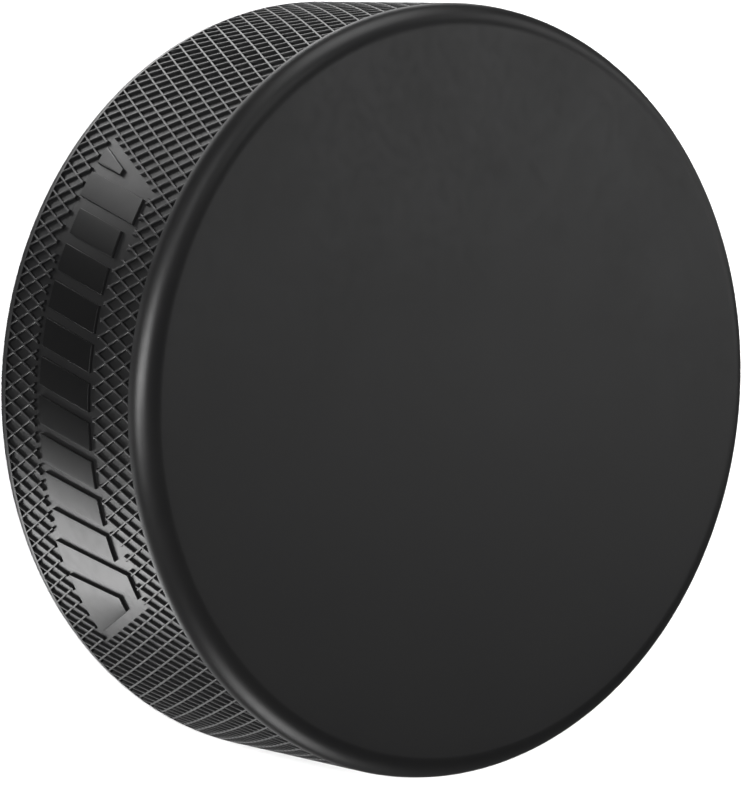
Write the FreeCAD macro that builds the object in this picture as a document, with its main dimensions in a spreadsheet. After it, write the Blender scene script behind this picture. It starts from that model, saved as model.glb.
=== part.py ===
import FreeCAD, Part
import math
import os
import Sketcher

# An ice hockey puck: one disc of vulcanised rubber, moulded in one piece.
# Millimetres and degrees. The origin is the centre of the lower flat face, +Z is the axis.
# Turns on the side wall are counted about the axis from the front (-Y) towards +X.
#
# The side wall is knurled: thin ridges of both hands cross and leave rows of diamond cells.
# The knurl runs between two rounded shoulders. Two smooth panels, at the front (-Y) and at
# the back (+Y), interrupt it. A panel is sunk a little below the cells' floors, its ends
# lean along the ridges, and it is taller near its ends than at its waist. A row of slanted
# blocks stands on it, with a taller block at each end and a fin beyond it.

SIZES = {
    "diameter": 76.2,
    "thickness": 25.4,
    "shoulder_radius": 2.3,
    "ridge_count": 150,
    "knurl_turn": 0.9,
    "cell_width": 1.37,
    "cell_height": 2.68,
    "cell_pitch": 3.12,
    "cell_rows": 7,
    "cell_depth": 0.3,
    "slice_columns": 10,
    "panel_bottom": 6.6,
    "panel_top": 18.5,
    "panel_bottom_angle": 81.2,
    "panel_top_angle": 63.0,
    "panel_depth": 0.33,
    "waist_bottom": 7.3,
    "waist_top": 17.2,
    "waist_angle": 41.2,
    "block_turn": -2.0,
    "block_bottom": 8.2,
    "block_top": 16.45,
    "block_bottom_width": 2.7,
    "block_top_width": 2.7,
    "block_shift": 2.06,
    "block_count": 9,
    "block_row_angle": 44.8,
    "tall_block_turn": -2.0,
    "tall_block_bottom": 7.2,
    "tall_block_top": 17.8,
    "tall_block_bottom_width": 2.7,
    "tall_block_top_width": 2.7,
    "tall_block_shift": 2.65,
    "tall_block_count": 2,
    "tall_block_row_angle": 56.0,
    "wide_fin_turn": 32.3,
    "wide_fin_bottom": 7.2,
    "wide_fin_top": 14.5,
    "wide_fin_bottom_width": 7.1,
    "wide_fin_top_width": 1.6,
    "wide_fin_shift": -0.95,
    "narrow_fin_turn": -35.6,
    "narrow_fin_bottom": 7.2,
    "narrow_fin_top": 12.0,
    "narrow_fin_bottom_width": 1.9,
    "narrow_fin_top_width": 0.7,
    "narrow_fin_shift": 1.8,
    "overlap": 1.0,
}
RADIUS = "sizes.diameter / 2"
MIDDLE = "sizes.thickness / 2"
SHOULDER_TOP = "sizes.thickness - sizes.shoulder_radius"
FLAT_RADIUS = f"{RADIUS} - sizes.shoulder_radius"
CORE_RADIUS = f"{RADIUS} - 2 * sizes.shoulder_radius"
PANEL_RADIUS = f"{RADIUS} - sizes.panel_depth"
COLUMN_ANGLE = "360 / sizes.ridge_count"
FULL_TURN = "360"
PANELS = "2"
H_AXIS = -1
V_AXIS = -2
START = 1
END = 2

doc = FreeCAD.newDocument("hockey_puck")
sheet = doc.addObject("Spreadsheet::Sheet", "sizes")
for row, (alias, value) in enumerate(SIZES.items(), start=1):
    sheet.set(f"A{row}", alias)
    sheet.set(f"B{row}", str(value))
    sheet.setAlias(f"B{row}", alias)
doc.recompute()


def value_of(expression):
    return float(sheet.evalExpression(expression))


def make_body(name):
    body = doc.addObject("PartDesign::Body", name)
    body.Label = name
    return body


def origin_part(body, role):
    """An axis or plane of the body's own origin."""
    found = next(item for item in body.Origin.OriginFeatures if item.Role == role)
    return (found, [""])


def make_sketch(body, name, role):
    sketch = body.newObject("Sketcher::SketchObject", name)
    sketch.AttachmentSupport = [origin_part(body, role)]
    sketch.MapMode = "FlatFace"
    return sketch


def make_wall_sketch(body, name, distance, turn):
    """A sketch facing out of the side wall at a turn, at a distance from the axis.

    Its own x runs round the wall and its y is Z.
    """
    sketch = make_sketch(body, name, "XZ_Plane")
    sketch.AttachmentOffset = FreeCAD.Placement(
        FreeCAD.Vector(0, 0, 0), FreeCAD.Rotation(FreeCAD.Vector(0, 1, 0), 1)
    )
    sketch.setExpression("AttachmentOffset.Rotation.Angle", f"({turn}) * 1 deg")
    sketch.setExpression("AttachmentOffset.Base.x", f"({distance}) * sin({turn})")
    sketch.setExpression("AttachmentOffset.Base.z", f"({distance}) * cos({turn})")
    doc.recompute()
    return sketch


def hold_start(sketch, piece, x, y):
    """Hold the first point of a line or arc at x, y, given as expressions."""
    for axis, kind, place in ((V_AXIS, "DistanceX", x), (H_AXIS, "DistanceY", y)):
        if place == "0":
            sketch.addConstraint(Sketcher.Constraint("PointOnObject", piece, START, axis))
        else:
            rule = Sketcher.Constraint(kind, -1, START, piece, START, value_of(place))
            number = sketch.addConstraint(rule)
            sketch.setExpression(f"Constraints[{number}]", place)


def quarter_arc(start, radius, start_angle):
    """A quarter circle, anticlockwise from its start point."""
    angle = math.radians(start_angle)
    towards_start = FreeCAD.Vector(math.cos(angle), math.sin(angle), 0)
    circle = Part.Circle(start - towards_start * radius, FreeCAD.Vector(0, 0, 1), radius)
    return Part.ArcOfCircle(circle, angle, angle + math.pi / 2)


def draw_outline(sketch, corners, arcs=None):
    """Join the corners, pairs of expressions, into a closed outline.

    arcs gives, by the number of the corner that it starts at, each quarter arc's radius as
    an expression and its start angle. The other sides are straight.
    """
    arcs = arcs or {}
    first = sketch.GeometryCount
    points = [FreeCAD.Vector(value_of(x), value_of(y), 0) for x, y in corners]
    count = len(points)
    for index, point in enumerate(points):
        if index in arcs:
            radius, start_angle = arcs[index]
            side = quarter_arc(point, value_of(radius), start_angle)
        else:
            side = Part.LineSegment(point, points[(index + 1) % count])
        sketch.addGeometry(side, False)
    for index, corner in enumerate(corners):
        side = first + index
        following = first + (index + 1) % count
        sketch.addConstraint(Sketcher.Constraint("Coincident", side, END, following, START))
        hold_start(sketch, side, *corner)
    for index, (radius, _) in arcs.items():
        rule = Sketcher.Constraint("Radius", first + index, value_of(radius))
        number = sketch.addConstraint(rule)
        sketch.setExpression(f"Constraints[{number}]", radius)


def draw_box(sketch, x_from, x_to, y_from, y_to):
    draw_outline(sketch, [(x_from, y_from), (x_to, y_from), (x_to, y_to), (x_from, y_to)])


def add_feature(body, kind, name, **expressions):
    feature = body.newObject(f"PartDesign::{kind}", name)
    feature.Refine = False
    for key, expression in expressions.items():
        feature.setExpression(key, expression)
    return feature


def turn_about_axis(body, name, kind, sketch, angle, midplane=False):
    feature = add_feature(body, kind, name, Angle=angle)
    feature.Profile = sketch
    feature.ReferenceAxis = origin_part(body, "Z_Axis")
    feature.Midplane = midplane
    doc.recompute()
    return feature


def repeat(body, name, original, *steps):
    """Repeat a feature through one or more patterns, applied one after another."""
    multi = add_feature(body, "MultiTransform", f"{name}_repeated")
    multi.Originals = [original]
    transformations = []
    for number, (kind, direction, role, expressions) in enumerate(steps):
        step = add_feature(body, kind, f"{name}_step_{number}", **expressions)
        setattr(step, direction, origin_part(body, role))
        transformations.append(step)
    multi.Transformations = transformations
    body.Tip = multi
    doc.recompute()


def around(count, angle=FULL_TURN):
    sizes = {"Occurrences": count, "Angle": angle}
    return ("PolarPattern", "Axis", "Z_Axis", sizes)


def upwards(count, pitch):
    sizes = {"Occurrences": count, "Length": f"({count} - 1) * {pitch}"}
    return ("LinearPattern", "Direction", "Z_Axis", sizes)


def mirrored_across_front():
    return ("Mirrored", "MirrorPlane", "YZ_Plane", {})


def join(body, name, other, kind):
    """Cut another body out of this one, or fuse it in."""
    feature = body.newObject("PartDesign::Boolean", name)
    feature.setObjects([other])
    feature.Type = kind
    feature.Refine = False
    body.Tip = feature
    doc.recompute()


def add_band_slice(body):
    """A slice of the ring between the shoulders, wide enough for a few columns of cells."""
    sketch = make_sketch(body, "band_section", "XZ_Plane")
    draw_box(sketch, CORE_RADIUS, RADIUS, "sizes.shoulder_radius", SHOULDER_TOP)
    angle = f"{COLUMN_ANGLE} * sizes.slice_columns"
    turn_about_axis(body, "band", "Revolution", sketch, angle)


def cut_cells(body, name, first_column, rows):
    """Diamond cells in rows up the slice and in columns along it."""
    lowest = f"{MIDDLE} - ({rows} - 1) / 2 * sizes.cell_pitch"
    turn = f"(90 - sizes.knurl_turn + {first_column} * {COLUMN_ANGLE})"
    sketch = make_wall_sketch(body, f"{name}_outline", f"{RADIUS} - sizes.cell_depth", turn)
    draw_outline(
        sketch,
        [
            ("-sizes.cell_width / 2", lowest),
            ("0", f"{lowest} - sizes.cell_height / 2"),
            ("sizes.cell_width / 2", lowest),
            ("0", f"{lowest} + sizes.cell_height / 2"),
        ],
    )
    cell = add_feature(body, "Pocket", name, Length="sizes.cell_depth + sizes.overlap")
    cell.Profile = sketch
    cell.Reversed = True
    doc.recompute()
    columns = "(sizes.slice_columns + 1)"
    row_length = f"{COLUMN_ANGLE} * sizes.slice_columns"
    repeat(body, name, cell, upwards(rows, "sizes.cell_pitch"), around(columns, row_length))


def close_ring(body):
    """Repeat the knurled slice all the way round the puck."""
    slices = "sizes.ridge_count / sizes.slice_columns"
    ring = add_feature(body, "PolarPattern", "ring", Occurrences=slices, Angle=FULL_TURN)
    ring.TransformMode = "Whole shape"
    ring.Axis = origin_part(body, "Z_Axis")
    body.Tip = ring
    doc.recompute()


def add_panel_ends(body):
    """Trim the ends of the panels' space along the ridges."""
    turn = "(sizes.panel_bottom_angle + sizes.panel_top_angle) / 4"
    lean = f"{RADIUS} * sin((sizes.panel_bottom_angle - sizes.panel_top_angle) / 4)"
    sketch = make_wall_sketch(body, "panel_end_outline", CORE_RADIUS, turn)
    draw_outline(
        sketch,
        [
            (lean, "sizes.panel_bottom"),
            (f"3 * {lean}", "sizes.panel_bottom"),
            (f"3 * {lean}", "sizes.panel_top"),
            (f"-{lean}", "sizes.panel_top"),
        ],
    )
    end = add_feature(body, "Pocket", "panel_end", Length=CORE_RADIUS)
    end.Profile = sketch
    end.Reversed = True
    doc.recompute()
    repeat(body, "panel_end", end, mirrored_across_front(), around(PANELS))


def make_panel_cutter():
    """The space of both panels: sectors of a ring, narrower at the waist."""
    body = make_body("panel_cutter")
    body.AllowCompound = True
    inside = f"-({PANEL_RADIUS})"
    outside = f"-({RADIUS} + sizes.overlap)"
    sketch = make_sketch(body, "panel_section", "YZ_Plane")
    draw_box(sketch, outside, inside, "sizes.panel_bottom", "sizes.panel_top")
    angle = "sizes.panel_bottom_angle"
    sector = turn_about_axis(body, "panel", "Revolution", sketch, angle, midplane=True)
    repeat(body, "panel", sector, around(PANELS))

    sketch = make_sketch(body, "waist_section", "YZ_Plane")
    beyond_inside = f"-({PANEL_RADIUS} - sizes.overlap)"
    beyond_outside = f"-({RADIUS} + 2 * sizes.overlap)"
    below = "sizes.panel_bottom - sizes.overlap"
    above = "sizes.panel_top + sizes.overlap"
    draw_box(sketch, beyond_outside, beyond_inside, below, "sizes.waist_bottom")
    draw_box(sketch, beyond_outside, beyond_inside, "sizes.waist_top", above)
    waist = turn_about_axis(body, "waist", "Groove", sketch, "sizes.waist_angle", midplane=True)
    repeat(body, "waist", waist, around(PANELS))

    add_panel_ends(body)
    return body


def add_block(body, name, *row):
    """A slanted block with its top beyond the wall, in a row on both panels."""
    root = f"{CORE_RADIUS} - sizes.overlap"
    turn = f"sizes.{name}_turn"
    if row:
        turn = f"{turn} - sizes.{name}_row_angle / 2"
    sketch = make_wall_sketch(body, f"{name}_outline", root, turn)
    low = f"sizes.{name}_bottom_width / 2"
    high = f"sizes.{name}_top_width / 2"
    shift = f"sizes.{name}_shift / 2"
    draw_outline(
        sketch,
        [
            (f"-{low} - {shift}", f"sizes.{name}_bottom"),
            (f"{low} - {shift}", f"sizes.{name}_bottom"),
            (f"{high} + {shift}", f"sizes.{name}_top"),
            (f"-{high} + {shift}", f"sizes.{name}_top"),
        ],
    )
    block = add_feature(body, "Pad", name, Length=f"{RADIUS} - ({root}) + sizes.overlap")
    block.Profile = sketch
    doc.recompute()
    repeat(body, name, block, *row, around(PANELS))


def trim_blocks(body):
    """Turn the blocks' tops down to the full radius of the puck."""
    sketch = make_sketch(body, "trim_section", "XZ_Plane")
    outside = f"{RADIUS} + 2 * sizes.overlap"
    draw_box(sketch, RADIUS, outside, "sizes.shoulder_radius", SHOULDER_TOP)
    turn_about_axis(body, "trim", "Groove", sketch, FULL_TURN)


def add_shoulders(body):
    """The two rounded shoulders with the flat faces, and the core that joins them."""
    sketch = make_sketch(body, "shoulder_section", "XZ_Plane")
    draw_outline(
        sketch,
        [
            ("0", "0"),
            (FLAT_RADIUS, "0"),
            (RADIUS, "sizes.shoulder_radius"),
            (CORE_RADIUS, "sizes.shoulder_radius"),
            (CORE_RADIUS, SHOULDER_TOP),
            (RADIUS, SHOULDER_TOP),
            (FLAT_RADIUS, "sizes.thickness"),
            ("0", "sizes.thickness"),
        ],
        arcs={1: ("sizes.shoulder_radius", -90), 5: ("sizes.shoulder_radius", 0)},
    )
    turn_about_axis(body, "shoulders", "Revolution", sketch, FULL_TURN)


def make_knurled_band():
    """The ring between the shoulders, with its cells and the sunk panels."""
    body = make_body("knurled_band")
    add_band_slice(body)
    cut_cells(body, "cell", 0, "sizes.cell_rows")
    cut_cells(body, "staggered_cell", 0.5, "(sizes.cell_rows + 1)")
    close_ring(body)
    join(body, "panels", make_panel_cutter(), "Cut")
    return body


def make_puck():
    band = make_knurled_band()
    body = make_body("puck")
    add_shoulders(body)
    for name in ("block", "tall_block"):
        row = around(f"sizes.{name}_count", f"sizes.{name}_row_angle")
        add_block(body, name, row)
    add_block(body, "wide_fin")
    add_block(body, "narrow_fin")
    trim_blocks(body)
    join(body, "side_wall", band, "Fuse")
    return body


def check_document():
    for item in doc.Objects:
        if "Invalid" in item.State or "Error" in item.State:
            raise RuntimeError(f"{item.Name} failed: {item.State}")


def export(node):
    shape = node.Shape
    if shape.isNull() or not shape.isValid() or len(shape.Solids) != 1:
        raise RuntimeError(f"{node.Label} is not one valid solid")
    shape.exportStep(f"parts/{node.Label}.step")
    box = shape.optimalBoundingBox()
    print(node.Label, round(shape.Volume, 1), "mm3", len(shape.Faces), "faces", box)


puck = make_puck()
check_document()
os.makedirs("parts", exist_ok=True)
export(puck)
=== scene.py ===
import math

import bmesh
import bpy
import numpy as np
from mathutils import Matrix, Vector


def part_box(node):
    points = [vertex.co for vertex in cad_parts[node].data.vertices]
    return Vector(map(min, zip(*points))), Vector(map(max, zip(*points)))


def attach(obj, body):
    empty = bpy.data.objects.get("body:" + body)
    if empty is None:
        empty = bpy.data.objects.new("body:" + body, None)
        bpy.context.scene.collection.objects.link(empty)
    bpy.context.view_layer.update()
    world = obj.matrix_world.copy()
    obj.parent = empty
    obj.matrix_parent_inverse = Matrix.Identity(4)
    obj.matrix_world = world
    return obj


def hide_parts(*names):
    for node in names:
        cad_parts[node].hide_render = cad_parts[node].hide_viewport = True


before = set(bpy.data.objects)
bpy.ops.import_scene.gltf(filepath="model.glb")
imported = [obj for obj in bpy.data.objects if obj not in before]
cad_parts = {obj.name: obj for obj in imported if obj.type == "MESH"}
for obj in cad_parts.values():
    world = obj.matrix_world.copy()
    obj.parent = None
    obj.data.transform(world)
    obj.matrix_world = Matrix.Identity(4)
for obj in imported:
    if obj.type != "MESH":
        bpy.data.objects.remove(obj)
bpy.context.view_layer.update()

low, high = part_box("puck")
MM = 0.001

# The disc
RADIUS = (high[0] - low[0]) / 2
THICKNESS = high[2] - low[2]
MIDDLE = (high[2] + low[2]) / 2
SHOULDER = 2.3 * MM
SHOULDER_STEPS = 14
FLAT_RADIUS = RADIUS - SHOULDER
FACE_RINGS = (0.97, 0.85, 0.6, 0.3, 0.1)

# The knurl: ridges of both hands, whose crossings are the corners of diamond tiles.
RIDGES = 150
KNURL_TURN = math.radians(0.9)
TILE_ANGLE = 2 * math.pi / RIDGES
TILE_HEIGHT = 3.12 * MM
ROWS = 7
# From a ridge's centre line into the tile: distance as a share of the tile, and depth.
RIDGE_PROFILE = (
    (0.036, 0.004 * MM),
    (0.058, 0.020 * MM),
    (0.074, 0.060 * MM),
    (0.086, 0.270 * MM),
    (0.096, 0.300 * MM),
)
AT_FULL_RADIUS = 0.004 * MM

# The smooth panels: bottom and top, half angle there, and the lower waist between.
PANEL_LOW, PANEL_HIGH = 6.6 * MM, 18.5 * MM
PANEL_LOW_HALF, PANEL_HIGH_HALF = math.radians(40.6), math.radians(31.5)
PANEL_LEAN = (PANEL_LOW_HALF - PANEL_HIGH_HALF) / (PANEL_HIGH - PANEL_LOW)
WAIST_LOW, WAIST_HIGH = 7.3 * MM, 17.2 * MM
WAIST_HALF = math.radians(20.6)
PANEL_DEPTH = 0.31 * MM
PANEL_STEPS = 40
PANEL_SIDES = (0, math.pi)

# The blocks on each panel: turn in degrees, then bottom, top, bottom width, top width and
# shift of the top against the bottom, in mm.
ROW_TURN, ROW_STEP = -2.0, 5.6
BLOCKS = [(ROW_TURN + ROW_STEP * i, 8.2, 16.45, 2.7, 2.7, 2.06) for i in range(-4, 5)]
BLOCKS += [(ROW_TURN + ROW_STEP * i, 7.2, 17.8, 2.7, 2.7, 2.65) for i in (-5, 5)]
BLOCKS += [(32.3, 7.2, 14.5, 7.1, 1.6, -0.95), (-35.6, 7.2, 12.0, 1.9, 0.7, 1.8)]
BLOCK_COLUMNS = 9
BLOCK_ROOT = 1.0 * MM
BLOCK_EDGE = 0.03 * MM
BLOCK_TOP_SLACK = 0.05 * MM


def on_wall(turn, radius, height):
    """A point by its angle from the front (-Y) towards +X, its radius and its height."""
    return np.stack([radius * np.sin(turn), -radius * np.cos(turn), height], axis=-1)


def turn_of(point):
    return math.atan2(point[0], -point[1]) % (2 * math.pi)


def make_object(name, points, faces):
    mesh = bpy.data.meshes.new(name)
    mesh.from_pydata(points, [], faces)
    item = bpy.data.objects.new(name, mesh)
    bpy.context.scene.collection.objects.link(item)
    return item


def knurl_mesh():
    """The knurled band: every tile is a stack of diamonds, from its ridges to its floor.

    A point has its place across the ridges of each hand, u and v. The ridges themselves
    are at whole numbers.
    """
    points = []
    faces = []
    crossings = {}

    def add_point(u, v, depth):
        turn = (u + v) / 2 * TILE_ANGLE - KNURL_TURN
        height = MIDDLE + (u - v) / 2 * TILE_HEIGHT
        points.append(on_wall(turn, RADIUS - depth, height).tolist())
        return len(points) - 1

    def crossing(u, v):
        """Where two ridges cross, shared by the tiles around it."""
        key = (u - v, (u + v) % (2 * RIDGES))
        if key not in crossings:
            crossings[key] = add_point(u, v, 0.0)
        return crossings[key]

    for row in range(-ROWS, ROWS + 1):
        for column in range((row + 1) % 2, 2 * RIDGES, 2):
            u = (column - 1 + row) // 2
            v = (column - 1 - row) // 2
            corners = ((u, v), (u + 1, v), (u + 1, v + 1), (u, v + 1))
            rings = [[crossing(*corner) for corner in corners]]
            for near, depth in RIDGE_PROFILE:
                far = 1 - near
                steps = ((near, near), (far, near), (far, far), (near, far))
                rings.append([add_point(u + du, v + dv, depth) for du, dv in steps])
            for outer, inner in zip(rings, rings[1:]):
                for i in range(4):
                    j = (i + 1) % 4
                    faces.append((outer[i], outer[j], inner[j], inner[i]))
            faces.append(tuple(rings[-1]))
    return points, faces


def close_band(bm, height):
    """Walls that close the cut cells at a shoulder. Returns the loop at full radius."""
    rim = [v for v in bm.verts if abs(v.co.z - height) < 1e-7 and v.is_boundary]
    rim.sort(key=lambda v: turn_of(v.co))
    outer = []
    for vert in rim:
        radius = math.hypot(vert.co.x, vert.co.y)
        if radius > RADIUS - AT_FULL_RADIUS:
            outer.append(vert)
        else:
            scale = RADIUS / radius
            outer.append(bm.verts.new((vert.co.x * scale, vert.co.y * scale, height)))
    count = len(rim)
    for i in range(count):
        j = (i + 1) % count
        corners = [rim[i], rim[j], outer[j], outer[i]]
        corners = [v for k, v in enumerate(corners) if v not in corners[:k]]
        if len(corners) > 2:
            bm.faces.new(corners)
    return outer


def stitch(bm, loop_a, loop_b):
    """Triangles between two rings of points, both sorted by their turn."""
    a = [(turn_of(v.co), v) for v in loop_a]
    b = [(turn_of(v.co), v) for v in loop_b]
    a.append((a[0][0] + 2 * math.pi, a[0][1]))
    b.append((b[0][0] + 2 * math.pi, b[0][1]))
    i = j = 0
    while i < len(a) - 1 or j < len(b) - 1:
        step_a = j == len(b) - 1 or (i < len(a) - 1 and a[i + 1][0] <= b[j + 1][0])
        if step_a:
            bm.faces.new([a[i][1], a[i + 1][1], b[j][1]])
            i += 1
        else:
            bm.faces.new([a[i][1], b[j + 1][1], b[j][1]])
            j += 1


def add_ring(bm, radius, height, count):
    turns = np.arange(count) * 2 * math.pi / count
    places = on_wall(turns, radius, np.full(count, height)).tolist()
    return [bm.verts.new(place) for place in places]


def add_end(bm, top):
    """A rounded shoulder and a flat face, from the band's edge to the middle."""
    edge = THICKNESS - SHOULDER if top else SHOULDER
    sign = 1 if top else -1
    loop = close_band(bm, edge)
    count = 2 * RIDGES
    rings = []
    for step in range(1, SHOULDER_STEPS + 1):
        angle = step / SHOULDER_STEPS * math.pi / 2
        radius = FLAT_RADIUS + SHOULDER * math.cos(angle)
        height = edge + sign * SHOULDER * math.sin(angle)
        rings.append(add_ring(bm, radius, height, count))
    for share in FACE_RINGS:
        rings.append(add_ring(bm, FLAT_RADIUS * share, edge + sign * SHOULDER, count))
    stitch(bm, loop, rings[0])
    for inner, outer in zip(rings[1:], rings[:-1]):
        for i in range(count):
            j = (i + 1) % count
            bm.faces.new([outer[i], outer[j], inner[j], inner[i]])
    bm.faces.new(rings[-1])


def make_disc():
    """The whole puck with the knurl all the way round, before the panels are cut."""
    item = make_object("puck_rubber", *knurl_mesh())
    bm = bmesh.new()
    bm.from_mesh(item.data)
    for height, side in ((SHOULDER, -1), (THICKNESS - SHOULDER, 1)):
        bmesh.ops.bisect_plane(
            bm,
            geom=bm.verts[:] + bm.edges[:] + bm.faces[:],
            dist=1e-8,
            plane_co=(0, 0, height),
            plane_no=(0, 0, side),
            clear_outer=True,
        )
    add_end(bm, True)
    add_end(bm, False)
    bmesh.ops.recalc_face_normals(bm, faces=bm.faces[:])
    bm.to_mesh(item.data)
    bm.free()
    return item


def add_slab(points, faces, columns, inner, outer):
    """A slab that follows the wall. columns: (turn, height) of its lower and upper edge."""
    first = len(points)
    for (turn_low, low_edge), (turn_high, high_edge) in columns:
        for turn, height in ((turn_low, low_edge), (turn_high, high_edge)):
            for radius in (inner, outer):
                points.append(on_wall(turn, radius, height).tolist())
    for i in range(len(columns) - 1):
        a = first + 4 * i
        b = a + 4
        for p, q in ((0, 1), (1, 3), (3, 2), (2, 0)):
            faces.append((a + p, b + p, b + q, a + q))
    last = first + 4 * (len(columns) - 1)
    faces.append((first, first + 1, first + 3, first + 2))
    faces.append((last, last + 2, last + 3, last + 1))


def panel_cutter():
    """The space of both panels, cut out of the knurl."""
    end = PANEL_LOW_HALF - math.radians(0.02)
    step_out = WAIST_HALF + 0.0001
    half = [WAIST_HALF * i / PANEL_STEPS for i in range(PANEL_STEPS + 1)]
    half += [step_out + (end - step_out) * i / PANEL_STEPS for i in range(PANEL_STEPS + 1)]
    turns = [-t for t in reversed(half[1:])] + half
    points, faces = [], []
    for side in PANEL_SIDES:
        columns = []
        for turn in turns:
            waist = abs(turn) <= WAIST_HALF
            bottom = WAIST_LOW if waist else PANEL_LOW
            top = WAIST_HIGH if waist else PANEL_HIGH
            top = min(top, PANEL_LOW + (PANEL_LOW_HALF - abs(turn)) / PANEL_LEAN)
            columns.append(((turn + side, bottom), (turn + side, top)))
        add_slab(points, faces, columns, RADIUS - PANEL_DEPTH, RADIUS + BLOCK_ROOT)
    return make_object("panel_cutter", points, faces)


def blocks():
    """The slanted blocks and fins of both panels, with softened edges."""
    points, faces = [], []
    for side in PANEL_SIDES:
        for turn, bottom, top, low_width, high_width, shift in BLOCKS:
            centre = math.radians(turn) + side
            columns = []
            for i in range(BLOCK_COLUMNS):
                across = i / (BLOCK_COLUMNS - 1) - 0.5
                low_turn = centre + (across * low_width - shift / 2) * MM / RADIUS
                high_turn = centre + (across * high_width + shift / 2) * MM / RADIUS
                columns.append(((low_turn, bottom * MM), (high_turn, top * MM)))
            add_slab(points, faces, columns, RADIUS - BLOCK_ROOT, RADIUS)
    item = make_object("blocks", points, faces)
    bevel = item.modifiers.new("edges", "BEVEL")
    bevel.width = BLOCK_EDGE
    bevel.segments = 2
    bevel.limit_method = "ANGLE"
    bevel.angle_limit = math.radians(40)
    return item


def fix_normals(item):
    bm = bmesh.new()
    bm.from_mesh(item.data)
    bmesh.ops.recalc_face_normals(bm, faces=bm.faces[:])
    bm.to_mesh(item.data)
    bm.free()


def combine(item, tool, operation):
    """Apply a boolean with a tool object and remove the tool."""
    fix_normals(tool)
    step = item.modifiers.new(operation, "BOOLEAN")
    step.operation = operation
    step.solver = "MANIFOLD"
    step.object = tool
    graph = bpy.context.evaluated_depsgraph_get()
    result = bpy.data.meshes.new_from_object(item.evaluated_get(graph))
    item.modifiers.clear()
    item.data = result
    bpy.data.objects.remove(tool)


def mark_blocks(mesh):
    """A face attribute that is 1 on the blocks' smooth tops and 0 elsewhere."""
    marks = []
    for face in mesh.polygons:
        x, y, z = face.center
        turn = abs(math.atan2(x, -y))
        turn = min(turn, math.pi - turn)
        waist = turn < WAIST_HALF
        inside = (WAIST_LOW < z < WAIST_HIGH) if waist else (PANEL_LOW < z < PANEL_HIGH)
        inside = inside and turn < PANEL_LOW_HALF - (z - PANEL_LOW) * PANEL_LEAN
        on_top = math.hypot(x, y) > RADIUS - BLOCK_TOP_SLACK
        marks.append(1.0 if inside and on_top else 0.0)
    mesh.attributes.new("block_top", "FLOAT", "FACE").data.foreach_set("value", marks)


def shade_softly(item):
    """Smooth shading that keeps the flat faces flat and the steep edges crisp."""
    item.data.shade_smooth()
    item.data.set_sharp_from_angle(angle=math.radians(50))
    weighted = item.modifiers.new("normals", "WEIGHTED_NORMAL")
    weighted.keep_sharp = True
    weighted.weight = 60


class Shade:
    """Short names for building a node tree."""

    def __init__(self, name):
        self.material = bpy.data.materials.new(name)
        self.material.use_nodes = True
        self.tree = self.material.node_tree
        self.shader = self.tree.nodes["Principled BSDF"]

    def node(self, kind, inputs=None, **settings):
        node = self.tree.nodes.new(kind)
        for key, value in settings.items():
            setattr(node, key, value)
        for key, value in (inputs or {}).items():
            self.feed(node, key, value)
        return node

    def feed(self, node, key, value):
        if isinstance(value, bpy.types.NodeSocket):
            self.tree.links.new(value, node.inputs[key])
        else:
            node.inputs[key].default_value = value

    def math(self, operation, a, b):
        return self.node("ShaderNodeMath", {0: a, 1: b}, operation=operation).outputs[0]

    def noise(self, place, scale, detail=3.0, roughness=0.55):
        sizes = {"Vector": place, "Scale": scale, "Detail": detail, "Roughness": roughness}
        return self.node("ShaderNodeTexNoise", sizes).outputs["Fac"]

    def ramp(self, value, from_low, from_high, to_low, to_high):
        sizes = {"Value": value, "From Min": from_low, "From Max": from_high}
        sizes.update({"To Min": to_low, "To Max": to_high})
        return self.node("ShaderNodeMapRange", sizes).outputs["Result"]

    def mix(self, share, a, b):
        node = self.node("ShaderNodeMix", {"Factor": share}, data_type="RGBA")
        self.feed(node, 6, a)
        self.feed(node, 7, b)
        return node.outputs[2]


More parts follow.
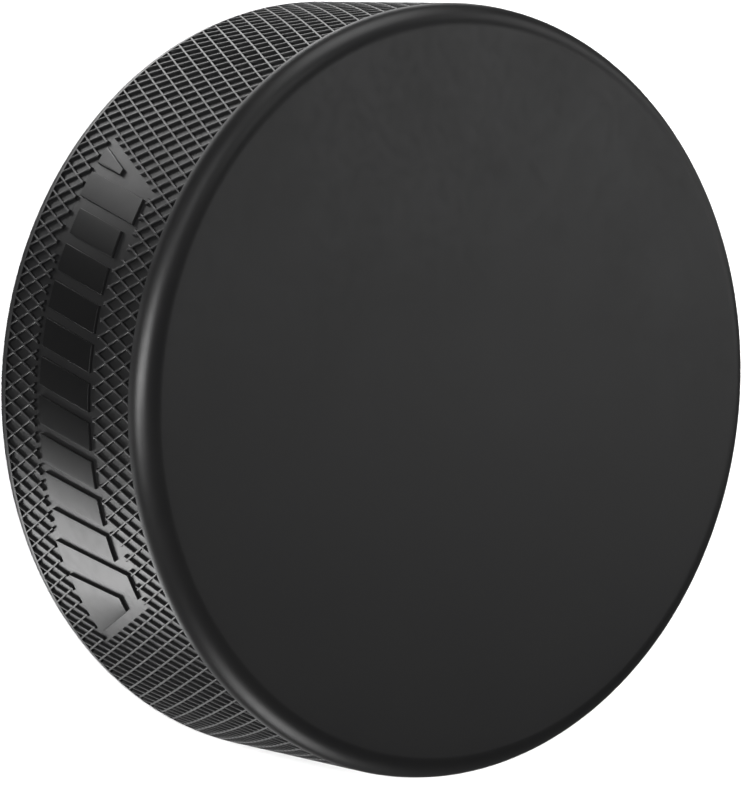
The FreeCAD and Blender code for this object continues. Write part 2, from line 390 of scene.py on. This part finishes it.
def make_rubber():
    """Black vulcanised rubber: mottled, finely grained, paler on the ridge tops (rubbed
    wear and a painted highlight), and darker on the blocks' tops (a different finish and a
    painted dark reflection).
    """
    shade = Shade("vulcanised_rubber")
    place = shade.node("ShaderNodeTexCoord").outputs["Object"]
    parts = shade.node("ShaderNodeSeparateXYZ", {"Vector": place}).outputs
    flat = shade.node("ShaderNodeCombineXYZ", {"X": parts["X"], "Y": parts["Y"]}).outputs[0]
    length = shade.node("ShaderNodeVectorMath", {0: flat}, operation="LENGTH")
    radius = length.outputs["Value"]
    crown = shade.ramp(radius, RADIUS - 0.12 * MM, RADIUS - 0.01 * MM, 0.0, 1.0)
    block = shade.node("ShaderNodeAttribute", attribute_name="block_top").outputs["Fac"]

    grain = shade.noise(place, 5200.0, 4.0, 0.6)
    pores = shade.noise(place, 900.0, 2.0)
    patches = shade.noise(place, 70.0, 4.0, 0.6)
    rubbing = shade.noise(place, 240.0, 5.0, 0.65)

    # Ridge tops paler: partly rubbed wear, partly a painted highlight where the raised
    # crowns catch the light.
    wear_and_sheen = shade.math("MULTIPLY", crown, shade.ramp(rubbing, 0.35, 0.7, 0.35, 1.0))
    wear_and_sheen = shade.math("MULTIPLY", wear_and_sheen, shade.math("SUBTRACT", 1.0, block))
    tone = shade.ramp(patches, 0.3, 0.7, 0.0, 1.0)
    colour = shade.mix(tone, (0.0105, 0.0105, 0.0112, 1), (0.0135, 0.0134, 0.0136, 1))
    # Paler colour on the ridge tops: wear and painted highlight together.
    colour = shade.mix(wear_and_sheen, colour, (0.045, 0.045, 0.046, 1))
    # Block tops darker: partly a different finish, partly a painted dark reflection of the
    # kind their smooth glossy tops show.
    colour = shade.mix(block, colour, (0.004, 0.004, 0.0042, 1))
    shade.feed(shade.shader, "Base Color", colour)

    rough = shade.ramp(patches, 0.3, 0.7, 0.34, 0.39)
    rough = shade.math("ADD", rough, shade.ramp(pores, 0.4, 0.7, 0.0, 0.03))
    rough = shade.math("SUBTRACT", rough, shade.math("MULTIPLY", block, 0.05))
    shade.feed(shade.shader, "Roughness", rough)
    level = shade.ramp(block, 0.0, 1.0, 0.5, 0.32)
    shade.feed(shade.shader, "Specular IOR Level", level)

    height = shade.math("ADD", grain, shade.math("MULTIPLY", pores, 1.5))
    strength = shade.ramp(block, 0.0, 1.0, 0.35, 0.1)
    bump = shade.node("ShaderNodeBump", {"Height": height, "Strength": strength})
    bump.inputs["Distance"].default_value = 0.006 * MM
    shade.feed(shade.shader, "Normal", bump.outputs["Normal"])
    return shade.material


puck = make_disc()
combine(puck, panel_cutter(), "DIFFERENCE")
combine(puck, blocks(), "UNION")
puck.data.name = "puck_rubber"
shade_softly(puck)
mark_blocks(puck.data)
puck.data.materials.clear()
puck.data.materials.append(make_rubber())
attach(puck, "root")
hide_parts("puck")

# Directions of the picture: out of the upper face, to its left and to its top. The puck
# lies flat, and the camera is rolled so that the picture shows it standing on its edge.
AXIS = Vector((0, 0, 1))
PICTURE_TURN = math.radians(2.1)
LEFT = Vector((-math.sin(PICTURE_TURN), -math.cos(PICTURE_TURN), 0))
UP = LEFT.cross(AXIS)
CENTRE = Vector((0, 0, MIDDLE))
CAMERA_PLACE = (356.94 * MM, 279.65 * MM, 25.15 * MM)
CAMERA_LOOK = (-0.78722, -0.61386, -0.05892)
CAMERA_RIGHT = (0.61214, -0.78942, 0.04582)


def in_picture(axis, left, up):
    return AXIS * axis + LEFT * left + UP * up


def add_camera():
    data = bpy.data.cameras.new("camera")
    data.lens = 204.28
    data.sensor_width = 36
    camera = bpy.data.objects.new("camera", data)
    bpy.context.scene.collection.objects.link(camera)
    bpy.context.scene.camera = camera
    look = in_picture(*CAMERA_LOOK).normalized()
    right = in_picture(*CAMERA_RIGHT).normalized()
    turned = Matrix((right, right.cross(look), -look)).transposed().to_4x4()
    camera.matrix_world = Matrix.Translation(CENTRE + in_picture(*CAMERA_PLACE)) @ turned


FLOOR_RADIUS = 3.0
FLOOR_CURVE = 0.6
BACKDROP_HEIGHT = 3.0
FLOOR_SIDES = 64
# The floor's own light starts at the first distance from the puck and is full at the last.
GLOW_FROM, GLOW_TO = 0.5, 1.5


def make_floor():
    """A pale floor whose far edge curves up into a backdrop."""
    flat = FLOOR_RADIUS - FLOOR_CURVE
    profile = [(r, 0.0) for r in (0.05, 0.2, 0.6, 1.2, flat)]
    for step in range(1, 9):
        angle = step / 8 * math.pi / 2
        rise = FLOOR_CURVE - FLOOR_CURVE * math.cos(angle)
        profile.append((flat + FLOOR_CURVE * math.sin(angle), rise))
    profile.append((FLOOR_RADIUS, BACKDROP_HEIGHT))
    points = [(0.0, 0.0, 0.0)]
    faces = []
    for radius, height in profile:
        for i in range(FLOOR_SIDES):
            turn = 2 * math.pi * i / FLOOR_SIDES
            points.append((radius * math.cos(turn), radius * math.sin(turn), height))
    for i in range(FLOOR_SIDES):
        j = (i + 1) % FLOOR_SIDES
        faces.append((0, 1 + i, 1 + j))
        for k in range(len(profile) - 1):
            a, b = 1 + k * FLOOR_SIDES, 1 + (k + 1) * FLOOR_SIDES
            faces.append((a + i, b + i, b + j, a + j))
    item = make_object("floor", points, faces)
    item.data.shade_smooth()
    shade = Shade("studio_white")
    shade.shader.inputs["Base Color"].default_value = (0.9, 0.9, 0.9, 1)
    shade.shader.inputs["Roughness"].default_value = 0.95
    shade.shader.inputs["Emission Color"].default_value = (1, 1, 1, 1)
    place = shade.node("ShaderNodeTexCoord").outputs["Object"]
    away = shade.node("ShaderNodeVectorMath", {0: place}, operation="LENGTH")
    glow = shade.ramp(away.outputs["Value"], GLOW_FROM, GLOW_TO, 0.0, 1.0)
    shade.feed(shade.shader, "Emission Strength", glow)
    item.data.materials.append(shade.material)
    item.visible_diffuse = False
    item.visible_glossy = False
    item.visible_shadow = False
    return item


def make_world():
    world = bpy.data.worlds.new("studio")
    world.use_nodes = True
    sky = world.node_tree.nodes["Background"]
    sky.inputs["Color"].default_value = (1, 1, 1, 1)
    sky.inputs["Strength"].default_value = 0.095
    return world


def lit_only(item):
    """A collection that limits a lamp's light to one object."""
    group = bpy.data.collections.new(f"lit_{item.name}")
    group.objects.link(item)
    return group


def add_lamp(name, light, direction, distance, receivers):
    lamp = bpy.data.objects.new(name, light)
    lamp.location = CENTRE + direction * distance
    lamp.rotation_mode = "QUATERNION"
    lamp.rotation_quaternion = direction.to_track_quat("Z", "Y")
    lamp.visible_camera = False
    lamp.light_linking.receiver_collection = receivers
    bpy.context.scene.collection.objects.link(lamp)


def softbox(name, direction, distance, width, height, radiance):
    light = bpy.data.lights.new(name, "AREA")
    light.shape = "RECTANGLE"
    light.size = width
    light.size_y = height
    light.energy = radiance * math.pi * width * height
    add_lamp(name, light, in_picture(*direction).normalized(), distance, PUCK_ONLY)


def floor_sun(name, direction, spread, strength):
    light = bpy.data.lights.new(name, "SUN")
    light.angle = math.radians(spread)
    light.energy = strength
    add_lamp(name, light, in_picture(*direction).normalized(), SUN_DISTANCE, FLOOR_ONLY)


# The puck's lamps: direction in the picture, distance, width, height, radiance. Those with
# a negative first number stand below the floor, which casts no shadow.
SOFTBOXES = (
    ("wall_key", (-0.79, 0.33, -0.52), 0.6, 0.24, 0.24, 6.6),
    ("wall_fill_near", (-0.79, 0.22, 0.57), 0.6, 0.24, 0.24, 2.4),
    ("wall_fill_high", (-0.79, -0.16, 0.60), 0.6, 0.24, 0.24, 3.2),
    ("wall_fill_far", (-0.72, -0.46, 0.50), 0.6, 0.20, 0.24, 1.4),
    ("wall_low", (-0.79, -0.20, -0.58), 0.6, 0.24, 0.24, 0.8),
    ("rim", (-0.62, -0.77, 0.12), 0.6, 0.24, 0.24, 0.45),
    ("left_strip", (0.14, 0.99, -0.06), 0.6, 0.16, 0.16, 13.0),
    ("left_front", (0.40, 0.90, 0.10), 0.6, 0.20, 0.20, 10.0),
    ("front_high", (0.56, 0.55, 0.62), 0.6, 0.24, 0.24, 1.4),
    ("ground", (0.14, 0.04, -0.98), 0.6, 0.24, 0.34, 4.5),
    ("top", (0.16, -0.15, 0.96), 0.6, 0.36, 0.36, 2.2),
    ("shoulder_high", (0.78, -0.02, 0.60), 0.6, 0.16, 0.16, 1.5),
    ("shoulder_right", (0.32, -0.74, 0.58), 0.6, 0.26, 0.26, 1.1),
    ("shoulder_side", (0.04, -0.95, 0.28), 0.6, 0.20, 0.20, 0.5),
    ("face_light", (0.77, -0.62, 0.08), 0.8, 0.22, 0.22, 2.3),
    ("face_side", (0.46, -0.87, 0.10), 0.8, 0.30, 0.30, 1.0),
)
# The floor's lamps: direction in the picture, spread in degrees, strength.
FLOOR_SUNS = (
    ("floor_side", (0.77, 0.62, 0.16), 16, 4.8),
    ("floor_top", (1.0, 0.0, 0.0), 40, 1.8),
)
SUN_DISTANCE = 1.5

add_camera()
floor = make_floor()
bpy.context.scene.view_settings.view_transform = "Standard"
bpy.context.scene.world = make_world()
PUCK_ONLY = lit_only(puck)
FLOOR_ONLY = lit_only(floor)
for lamp in SOFTBOXES:
    softbox(*lamp)
for lamp in FLOOR_SUNS:
    floor_sun(*lamp)
